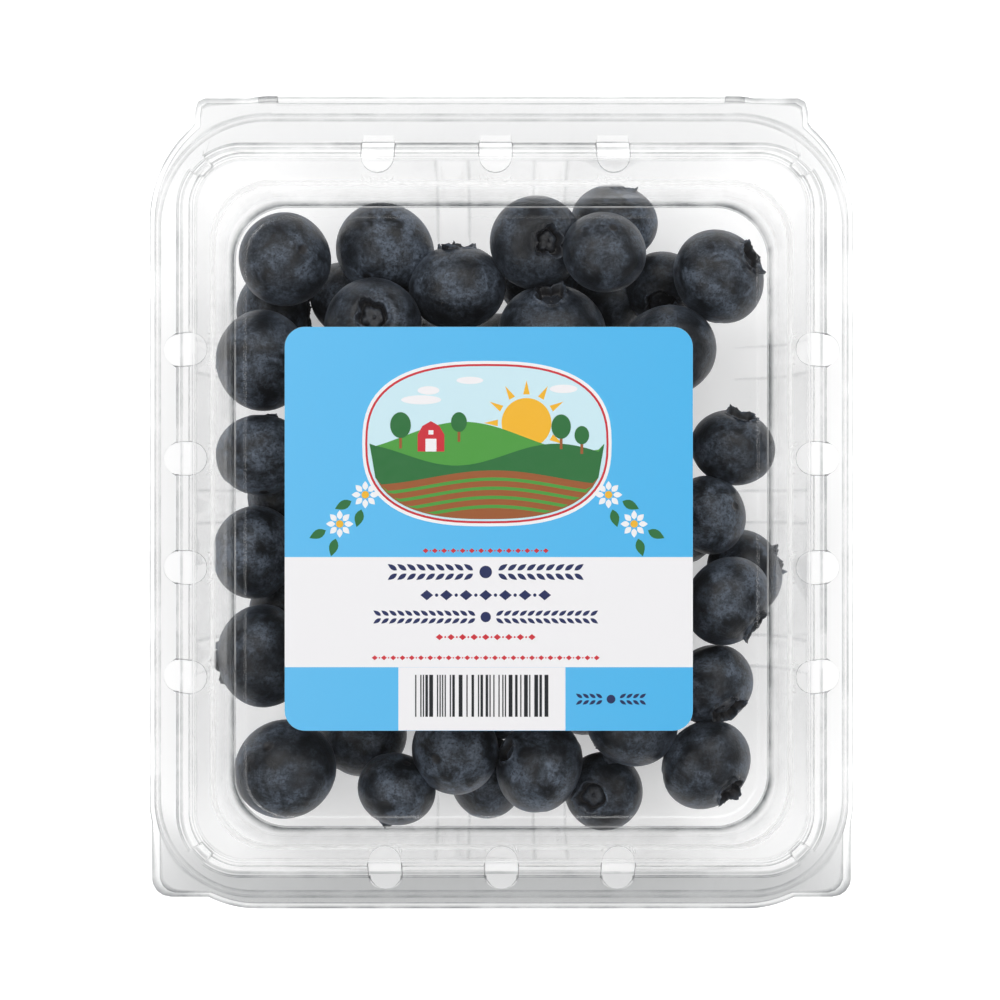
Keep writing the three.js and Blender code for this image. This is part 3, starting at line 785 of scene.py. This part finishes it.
def berryProfile(bodyRows):
    # One berry's outline from the middle of its crown to its stem scar. Rows: distance from the axis,
    # height, how much the crown's lobes act there, how dry the skin is, which in the crown's moat is also
    # painted shade. Half widths of the berry; the crown's heights are counted from the berry's surface at
    # its rim.
    c = berry["crown"]
    crown = np.array([
        (0.015, -0.12, 0, 0.1), (0.03, -0.14, 0, 0.9), (0.07, -0.145, 0, 0.6), (0.14, -0.14, 0.1, 0.5),
        (c - 0.13, -0.14, 0.3, 0.5), (c - 0.1, -0.2, 0.45, 0.9), (c - 0.07, -0.23, 0.5, 1.0),
        (c - 0.045, -0.12, 0.6, 1.0), (c - 0.015, -0.01, 0.85, 0.6), (c + 0.006, 0.025, 1.0, 0.2),
        (c + 0.024, 0.025, 0.95, 0.1), (c + 0.045, -0.008, 0.5, 0.3), (c + 0.07, -0.04, 0.1, 0.15),
    ])
    alpha = np.linspace(np.arcsin(c + 0.105), np.pi - 0.14, bodyRows)
    body = np.stack([np.sin(alpha), berry["flat"] * np.cos(alpha), 0 * alpha, 0 * alpha], axis=1)
    q = -berry["flat"]
    scar = np.array([(0.10, q + 0.012, 0, 0.6), (0.075, q + 0.035, 0, 1.0), (0.03, q + 0.04, 0, 1.0)])
    return np.concatenate([crown, body, scar]), len(crown)


def berryBodies(at, r, azimuth, tilt, columns, bodyRows, seed):
    # Berry surfaces, berries x rows x columns x 3: the outline carried round the axis, with a crown of
    # its own width and five torn lobes of uneven length, then low lumps, then turned so that the crown
    # points as it should.
    random = np.random.default_rng(seed)
    count = len(r)
    profile, crownRows = berryProfile(bodyRows)
    p, z, lobeShare, dryAndShaded = profile.T[:, None, :, None]
    isCrown = (np.arange(p.shape[1]) < crownRows)[None, :, None]
    phi = np.linspace(0, 2 * np.pi, columns, endpoint=False)

    wide = random.uniform(*berry["crownWidth"], count)[:, None, None] - 1
    c = berry["crown"]
    nearCrown = np.where(p < c, 1, (1 - p) / (1 - c))
    distance = np.where(z > -0.5, p * (1 + wide * nearCrown), p)
    surface = lambda d: berry["flat"] * np.sqrt(np.maximum(1 - d ** 2, 0))
    level = np.where(isCrown, surface(c * (1 + wide)) + z, np.where(z > 0, surface(distance), z))

    start = random.uniform(0, 2 * np.pi, count)[:, None]
    turn = ((phi[None] + start) / (2 * np.pi) * 5) % 5
    which = turn.astype(int)
    length = random.uniform(*berry["lobeLength"], (count, 5))
    lean = random.uniform(*berry["lobeLean"], (count, 5))
    arch = (1 - np.abs(2 * (turn - which) - 1)) ** 0.7
    ragged = 1 + 0.2 * np.sin(phi[None] * 17 + start * 9) + 0.2 * np.sin(phi[None] * 29 + start * 5)
    lobe = (arch * ragged * np.take_along_axis(length, which, axis=1))[:, None, :]
    leaning = (arch * ragged * np.take_along_axis(lean, which, axis=1))[:, None, :]
    distance = distance + (leaning + berry["scallop"] * (arch[:, None] - 0.6)) * lobeShare
    level = level + lobeShare * (lobe - 0.04)
    local = np.stack([distance * np.cos(phi), distance * np.sin(phi), level + 0 * distance], axis=-1)

    # lumps: a few long waves over each berry's own directions
    waves = random.normal(size=(count, 6, 3)) * 1.6
    phase = random.uniform(0, 2 * np.pi, (count, 6))
    lump = np.sin(np.einsum("brck,bwk->brcw", local, waves) + phase[:, None, None]).sum(axis=-1)
    local = local * (1 + berry["lumps"] * lump[..., None] / 2)
    axis = np.stack([np.sin(tilt) * np.cos(azimuth), np.sin(tilt) * np.sin(azimuth), np.cos(tilt)], axis=1)
    sideways = np.stack([-np.sin(azimuth), np.cos(azimuth), 0 * azimuth], axis=1)
    basis = np.stack([sideways, np.cross(axis, sideways), axis], axis=1)
    size = (r * berry["swell"])[:, None, None, None]
    placed = np.einsum("brck,bkm->brcm", local, basis) * size + at[:, None, None, :]
    # dry skin, with painted shade in the crown's moat
    dryAndShadedShare = np.broadcast_to(dryAndShaded, distance.shape)
    # bloom, raised on the lobes partly as a painted highlight
    bloomAndHighlightTone = random.uniform(*berry["bloom"], count)[:, None, None] * (1 + berry["lobeBloomAndHighlight"] * lobeShare)
    bloomAndHighlightTone = np.broadcast_to(bloomAndHighlightTone, distance.shape)
    return placed, dryAndShadedShare, bloomAndHighlightTone


def makeBerries(name, bodies, material):
    # each berry is a grid of rows, closed by one face over the crown's middle and one over the stem
    # scar's
    placed, dryAndShadedShare, bloomAndHighlightTone = bodies
    count, rows, columns = placed.shape[:3]
    first = np.arange(count) * rows * columns
    quads = gridQuads(rows, columns)[None] + first[:, None, None]
    ring = np.arange(columns)
    caps = [*(first[:, None] + ring), *(first[:, None] + (rows - 1) * columns + ring[::-1])]
    attributes = {"dryAndMoatShade": dryAndShadedShare, "bloomAndLobeHighlight": bloomAndHighlightTone}
    piece = makePiece(name, placed, quads, material, caps, attributes=attributes)
    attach(piece, "tray")
    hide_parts("berries")


label = {
    "left": -35.65, "right": 31.45, "front": -37.6, "back": 28.8, "round": 3.3,
    "bottom": 34.84, "thick": 0.14,
    "inkThick": 0.02,  # of the blue ground; the rest is the paper
    "paper": "#f7f6f4",
    "blue": ("#68c7fb", "#53bff7"),  # at the left and at the right
}


def roundedRectangle(left, right, front, back, r, steps=10):
    # counter-clockwise outline with a quarter circle at each corner
    angle = np.radians(np.linspace(0, 90, steps))
    centres = [(right - r, back - r), (left + r, back - r), (left + r, front + r), (right - r, front + r)]
    return np.concatenate([
        np.stack([x + r * np.cos(angle + q * np.pi / 2), y + r * np.sin(angle + q * np.pi / 2)], axis=1)
        for q, (x, y) in enumerate(centres)])


def makePlates(name, outlines, bottom, top, material):
    # closed flat plates, one for each counter-clockwise outline
    points, quads, ends, start = [], [], [], 0
    for outline in outlines:
        n = len(outline)
        points += [np.c_[outline, np.full(n, bottom)], np.c_[outline, np.full(n, top)]]
        i, j = start + np.arange(n), start + np.roll(np.arange(n), -1)
        quads.append(np.stack([i, j, j + n, i + n], axis=1))
        ends += [i[::-1], i + n]
        start += 2 * n
    piece = makePiece(name, np.concatenate(points), np.concatenate(quads), material, ends, smooth=False)
    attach(piece, "lid")
    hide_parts("label")


def makeLabel():
    # white paper under a blue ground that stops a hair short of its cut edge
    top = label["bottom"] + label["thick"]
    inkBottom = top - label["inkThick"]

    def outline(inset):
        return roundedRectangle(
            label["left"] + inset, label["right"] - inset, label["front"] + inset, label["back"] - inset,
            label["round"] - inset)

    paper = labelStock("white label paper", label["paper"])
    makePlates("labelPaper", [outline(0)], label["bottom"], inkBottom, paper)
    blue = labelStock("printing ink, blue ground", *label["blue"])
    makePlates("printGround", [outline(0.01)], inkBottom - 0.005, top, blue)


# A farm in an oval frame, ornamental rows on a white band, and a striped block.
ink = {
    "thick": 0.012,
    "white": "#fdfcfe", "red": "#d5343f", "navy": "#28315f", "black": "#1d2025",
    "sun": "#fdc035", "leaf": "#54a346", "field": "#327640", "earth": "#a25f35", "sky": "#d6f4fd",
    "band": (-9.05, -27.15),  # the white band's back and front edges
    "block": (-16.95, 10.5, -27.15, -37.55),  # left, right, back, front of the striped block
    "stripes": (-14.2, 7.7, -28.4, -35.3),
    "oval": (-2.4, 9.6, 20.5, 13.6),  # centre and half sizes of the farm's frame
    "ovalPower": 2.6,  # 2 is an ellipse, more is squarer
    # rows of ornament: middle X, Y, total width, height, ink
    "leafRows": (
        (-2.6, -11.5, 34.6, 2.3, "navy"), (-2.6, -18.9, 38.6, 1.9, "navy"),
        (18.0, -32.4, 12.4, 1.6, "navy")),
    "diamondRows": (
        (-2.6, -15.3, 25.6, 1.7, "navy"), (-2.6, -8.0, 21.4, 0.8, "red"), (-2.6, -22.2, 18.2, 1.0, "red"),
        (-2.6, -25.6, 38.4, 0.8, "red")),
    "daisies": ((-22.4, 1.2), (17.6, 1.2), (-26.6, -3.6), (21.8, -3.6)),
    # the farm, from the oval's centre
    "ringInset": 0.5,
    "skyInset": 0.85,
    "landInset": 1.2,
    # middle X, Y and half sizes
    "clouds": (
        (-10.8, 7.2, 3.3, 0.75), (-9.6, 8.75, 1.8, 0.7), (-2.8, 10.4, 2.2, 0.6), (12.6, 9.0, 2.3, 0.7)),
    "sunAt": (6.5, 3.4, 4.1),  # X, Y, radius
    "beam": ((4.7, -0.55), (7.0, 0), (4.7, 0.55)),  # one of the sun's rays, from its middle
    # tops of the land as rise + swell * sin(rate * x + phase)
    "hill": (1.2, 2.4, 0.16, 2.2),
    "slope": (-1.8, 1.8, 0.19, -0.6),
    "soil": (-5.6, 1.2, 0.15, 1.4),
    "furrows": (4, 1.5, 1.15, 1.7),  # how many, pitch, top and bottom of the first below the soil's top
    "barnAt": (-9.2, 0.3),
    "barn": ((-2.2, -1.6), (2.2, -1.6), (2.2, 1.2), (1.4, 2.6), (0, 3.4), (-1.4, 2.6), (-2.2, 1.2)),
    "doors": ((0.9, -1.6, 0.5), (0.4, 1.2, 1.9)),  # half width, bottom, top
    "trees": ((-14.2, 0.5, 1.7), (-4.6, 1.6, 1.3), (12.2, 0.4, 1.6), (15.6, -0.4, 1.2)),  # X, Y, half width
}


def ovalOutline(x, y, halfX, halfY, power=2.0, count=72):
    # |u| ** power + |v| ** power = 1
    angle = np.linspace(0, 2 * np.pi, count, endpoint=False)
    c, s = np.cos(angle), np.sin(angle)
    u, v = np.sign(c) * np.abs(c) ** (2 / power), np.sign(s) * np.abs(s) ** (2 / power)
    return np.c_[x + halfX * u, y + halfY * v]


def leafOutline(x, y, degrees, length, width, count=7):
    # A pointed leaf from its foot at (x, y): each side swells as the sine of the way along, and both
    # meet at the tip.
    along = np.linspace(0, 1, count)
    side = width / 2 * np.sin(np.pi * along ** 0.85)
    u = length * np.r_[along, along[-2:0:-1]]
    v = np.r_[-side, side[-2:0:-1]]
    c, s = np.cos(np.radians(degrees)), np.sin(np.radians(degrees))
    return np.c_[x + u * c - v * s, y + u * s + v * c]


def leafRow(x, y, width, height):
    # pairs of leaves that point away from a round berry in the middle
    length, gap = 0.8 * height, 0.12 * height
    starts = np.arange(0.9 * height, width / 2 - 0.7 * length, 0.85 * length)
    leaves = [
        leafOutline(x + side * start, y + up * gap, 90 - side * 90 + side * up * 34, length, 0.42 * length)
        for start in starts for side in (1, -1) for up in (1, -1)]
    return leaves + [ovalOutline(x, y, 0.45 * height, 0.45 * height, count=20)]


def diamondRow(x, y, width, height):
    # diamonds with a dot between each two
    pitch = 1.9 * height
    places = x + pitch * (np.arange(int(width / pitch)) - (int(width / pitch) - 1) / 2)
    diamonds = [ovalOutline(place, y, 0.62 * height, 0.5 * height, 1.0, 4) for place in places]
    dot = 0.17 * height
    dots = [ovalOutline(place + pitch / 2, y, dot, dot, count=8) for place in places[:-1]]
    return diamonds + dots


def landBand(top, bottom, inset, count=41):
    # A strip of land across the oval between two curves of X, kept inside the frame.
    x0, y0, halfX, halfY = ink["oval"]
    u = np.linspace(-1, 1, count)
    x = x0 + (halfX - inset) * u
    reach = (halfY - inset) * (1 - np.abs(u) ** ink["ovalPower"]) ** (1 / ink["ovalPower"])
    high = np.clip(top(x), y0 - reach, y0 + reach)
    low = np.clip(bottom(x), y0 - reach, high)
    return np.concatenate([np.c_[x, low], np.c_[x, high][::-1]])


def makePrint():
    random = np.random.default_rng(12)
    paper = label["bottom"] + label["thick"]
    thick = ink["thick"]
    stocks = {}

    def lay(name, colour, level, outlines):
        # one more thin layer of ink; level counts the layers beneath it
        if colour not in stocks:
            stocks[colour] = labelStock("printing ink, " + colour, ink[colour])
        bottom, top = paper + (level - 0.5) * thick, paper + (level + 1) * thick
        makePlates(name, outlines, bottom, top, stocks[colour])

    back, front = ink["band"]
    left, right, blockBack, blockFront = ink["block"]
    x0, y0, halfX, halfY = ink["oval"]
    power = ink["ovalPower"]
    lay("printWhite", "white", 0, [
        roundedRectangle(label["left"] + 0.01, label["right"] - 0.01, front, back, 0.02, 2),
        roundedRectangle(left, right, blockFront, blockBack - 0.02, 0.02, 2),
        ovalOutline(x0, y0, halfX, halfY, power),
    ])

    # stripes of random width, dark and bare by turns
    stripeLeft, stripeRight, stripeBack, stripeFront = ink["stripes"]
    widths = random.choice([0.33, 0.66, 0.99], 59, p=[0.55, 0.3, 0.15])
    edges = np.r_[0, np.cumsum(widths)] * (stripeRight - stripeLeft) / widths.sum() + stripeLeft
    lay("printStripes", "black", 1, [
        roundedRectangle(a, b, stripeFront, stripeBack, 0.01, 2) for a, b in zip(edges[::2], edges[1::2])])

    # rows of leaves and diamonds, one piece for each ink
    rows = {"navy": [], "red": []}
    for kind, shapes in (("leafRows", leafRow), ("diamondRows", diamondRow)):
        for x, y, width, height, colour in ink[kind]:
            rows[colour] += shapes(x, y, width, height)
    lay("printRowsNavy", "navy", 1, rows["navy"])
    lay("printRowsRed", "red", 1, rows["red"])

    # daisies with a leaf to either side
    petals = np.arange(0, 360, 45)
    lay("printPetals", "white", 1, [
        leafOutline(x + 0.75 * np.cos(np.radians(a)), y + 0.75 * np.sin(np.radians(a)), a, 1.5, 0.95)
        for x, y in ink["daisies"] for a in petals])
    lay("printHearts", "sun", 1, [ovalOutline(x, y, 0.62, 0.62, count=16) for x, y in ink["daisies"]])
    lay("printLeaves", "field", 1, [
        leafOutline(x + 2.5 * np.cos(np.radians(a)), y + 2.5 * np.sin(np.radians(a)), a, 3.0, 1.5)
        for x, y in ink["daisies"] for a in ((205, 255) if x < x0 else (-25, -75))])

    # the farm: a ring, a sky with clouds, a sun behind hills, a barn and trees, and ploughed furrows in
    # front
    ring, sky, land = ink["ringInset"], ink["skyInset"], ink["landInset"]
    lay("printRing", "red", 1, [ovalOutline(x0, y0, halfX - ring, halfY - ring, power)])
    lay("printSky", "sky", 2, [ovalOutline(x0, y0, halfX - sky, halfY - sky, power)])
    lay("printClouds", "white", 3, [
        ovalOutline(x0 + x, y0 + y, a, b, count=28) for x, y, a, b in ink["clouds"]])
    sunX, sunY, sunR = ink["sunAt"][0] + x0, ink["sunAt"][1] + y0, ink["sunAt"][2]
    u, v = np.array(ink["beam"]).T
    turned = [np.c_[sunX + u * np.cos(a) - v * np.sin(a), sunY + u * np.sin(a) + v * np.cos(a)]
              for a in np.radians(np.arange(0, 360, 30))]
    lay("printSun", "sun", 3, [ovalOutline(sunX, sunY, sunR, sunR), *turned])

    def landTop(name, drop=0.0):
        # height of a piece of land's top, less the drop, as a function of X
        rise, swell, rate, phase = ink[name]
        return lambda x: y0 + rise + swell * np.sin((x - x0) * rate + phase) - drop

    ground = lambda x: y0 - 99 + 0 * x
    lay("printHill", "leaf", 4, [landBand(landTop("hill"), ground, land)])
    lay("printSlope", "field", 5, [landBand(landTop("slope"), ground, land)])
    lay("printSoil", "earth", 6, [landBand(landTop("soil"), ground, land)])
    count, pitch, upper, lower = ink["furrows"]
    lay("printFurrows", "leaf", 7, [
        landBand(landTop("soil", upper + pitch * k), landTop("soil", lower + pitch * k), land + 0.2)
        for k in range(count)])
    barnX, barnY = x0 + ink["barnAt"][0], y0 + ink["barnAt"][1]
    lay("printBarn", "red", 6, [np.array(ink["barn"]) + (barnX, barnY)])
    lay("printBarnDoors", "white", 7, [
        roundedRectangle(barnX - half, barnX + half, barnY + low, barnY + high, 0.05, 2)
        for half, low, high in ink["doors"]])
    lay("printTrunks", "earth", 6, [
        roundedRectangle(x0 + x - 0.22, x0 + x + 0.22, y0 + y - 1.3, y0 + y + size, 0.05, 2)
        for x, y, size in ink["trees"]])
    lay("printTrees", "field", 7, [
        ovalOutline(x0 + x, y0 + y + 1.5 * size, size, 1.25 * size, count=32)
        for x, y, size in ink["trees"]])


studio = {
    "cameraAt": (-0.25, 0.335, 584.3),
    "lens": 120.3,
    "sensor": 36,
    "world": ("#ffffff", 0.1),
    "floor": "#fbfbfb",
    "floorGlow": 0.48,  # a light table's, so that nothing lies in shadow
    "floorHalf": 2000,
    "floorDrop": 0.05,  # keeps it clear of the tray's underside
    # soft boxes: name, place, width, height, power
    "lamps": (
        ("lampBack", (0, 560, 680), 1300, 260, 3.7),
        ("lampLeft", (-480, 0, 740), 1200, 240, 2.8),
        ("lampRight", (480, 0, 740), 1200, 240, 2.4),
        ("lampFront", (0, -450, 740), 1300, 240, 0.9),
    ),
}


def makeStage():
    camera = bpy.data.objects.new("camera", bpy.data.cameras.new("camera"))
    camera.location = Vector(studio["cameraAt"]) * mm
    camera.data.lens = studio["lens"]
    camera.data.sensor_width = studio["sensor"]
    camera.data.clip_start = 0.01
    bpy.context.scene.collection.objects.link(camera)
    bpy.context.scene.camera = camera

    world = bpy.data.worlds.new("studio")
    world.use_nodes = True
    colour, strength = studio["world"]
    world.node_tree.nodes["Background"].inputs["Color"].default_value = hexColour(colour)
    world.node_tree.nodes["Background"].inputs["Strength"].default_value = strength
    bpy.context.scene.world = world
    bpy.context.scene.view_settings.view_transform = "Standard"
    light = bpy.context.scene.cycles
    light.transparent_max_bounces = 24
    light.max_bounces = 5
    light.diffuse_bounces = 3
    light.glossy_bounces = 2
    light.transmission_bounces = 2

    for lamp in studio["lamps"]:
        addLamp(*lamp)

    # matt white table
    material, tree = newMaterial("matt white table")
    body = addNode(tree, "BsdfPrincipled", {}, {
        "Base Color": hexColour(studio["floor"]), "Roughness": 0.9, "Emission Color": hexColour("#ffffff"),
        "Emission Strength": studio["floorGlow"]})
    addNode(tree, "OutputMaterial", {}, {"Surface": body.outputs[0]})
    half, z = studio["floorHalf"], -studio["floorDrop"]
    points = np.array([(-half, -half, z), (half, -half, z), (half, half, z), (-half, half, z)])
    makePiece("floor", points, [[0, 1, 2, 3]], material, smooth=False)


def addLamp(name, place, width, height, power):
    # a soft box that faces the pack
    data = bpy.data.lights.new(name, "AREA")
    data.shape = "RECTANGLE"
    data.size, data.size_y = width * mm, height * mm
    data.energy = power
    lamp = bpy.data.objects.new(name, data)
    lamp.location = Vector(place) * mm
    toward = -Vector(place).normalized()
    sideways = Vector((0, 0, 1)).cross(toward).normalized()
    lamp.rotation_euler = Matrix((sideways, toward.cross(sideways) * -1, -toward)).transposed().to_euler()
    bpy.context.scene.collection.objects.link(lamp)


makeStage()
print("stage made")
makeTray(clearSheet("clear PET tray", 0.06))
makeLid(clearSheet("clear PET lid", 0.05))
makeHinge(clearSheet("clear PET hinge", 0.08))
print("pack made")

at, r = settledBerries()
skin = berrySkin()
count = len(showing)
azimuth, tilt = np.radians(showing[:, 4]), np.radians(showing[:, 5])
makeBerries("berriesShowing", berryBodies(at[:count], r[:count], azimuth, tilt, 60, 26, 5), skin)
random = np.random.default_rng(8)
rest = len(r) - count
azimuth, tilt = random.uniform(0, 2 * np.pi, rest), np.arccos(random.uniform(-1, 1, rest))
makeBerries("berriesBelow", berryBodies(at[count:], r[count:], azimuth, tilt, 36, 14, 6), skin)
print("berries made:", len(r))
makeLabel()
makePrint()
print("label made")
